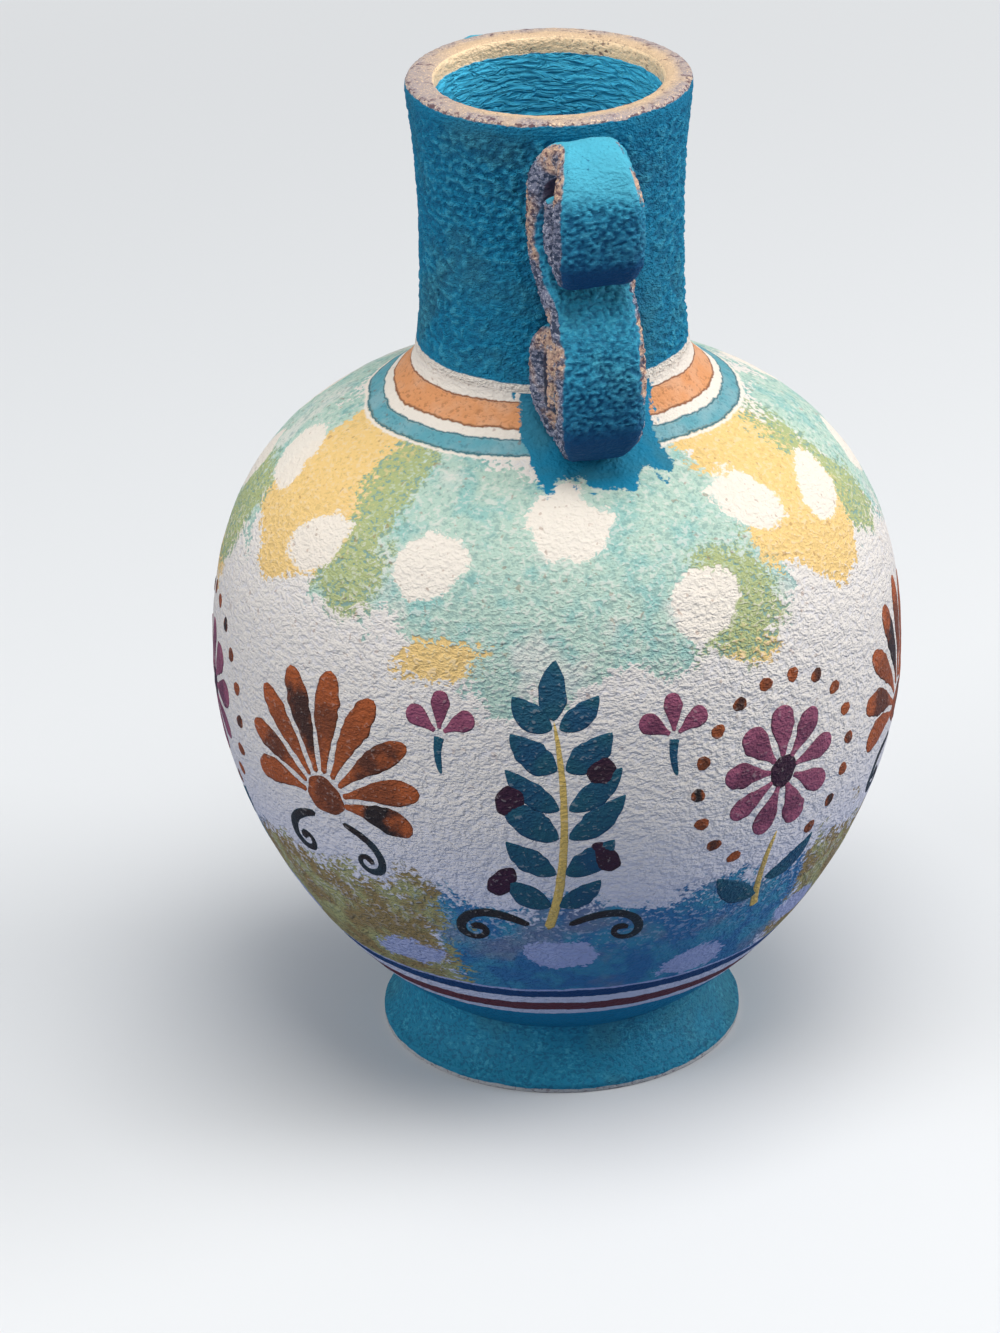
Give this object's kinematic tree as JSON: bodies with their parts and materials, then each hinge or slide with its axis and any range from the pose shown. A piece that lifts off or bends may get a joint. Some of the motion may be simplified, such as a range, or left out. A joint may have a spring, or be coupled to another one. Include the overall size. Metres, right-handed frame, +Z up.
{
  "type": "amphora_vase",
  "caption": "Round-bellied painted clay amphora vase with a teal neck, bronze lip, flared foot and S-scroll strap handles",
  "frame": {"origin": "on the ground at the centre of the foot, on the vase's axis", "axes": "+Z is up along the vase's axis; the front handle is on -Y and the back handle is near +Y"},
  "size_m": [0.1346, 0.1346, 0.199],
  "materials": {
    "teal_glaze": "matt teal paint over rough clay",
    "painted_clay": "matt cream ground with sponged and brushed colours over rough clay",
    "bronze_paint": "flecked bronze paint over clay",
    "slip_clay": "bare fired slip"
  },
  "bodies": {
    "root": {"foot": "teal_glaze", "foot_slip_ring": "slip_clay", "body": "painted_clay", "neck_slip_ring": "slip_clay", "neck": "teal_glaze", "lip_slip_ring": "slip_clay", "lip": "bronze_paint", "front_handle": "teal_glaze", "front_handle_neck_slip": "slip_clay", "front_handle_shoulder_slip": "slip_clay", "back_handle": "teal_glaze", "back_handle_neck_slip": "slip_clay", "back_handle_shoulder_slip": "slip_clay"}
  },
  "joints": []
}
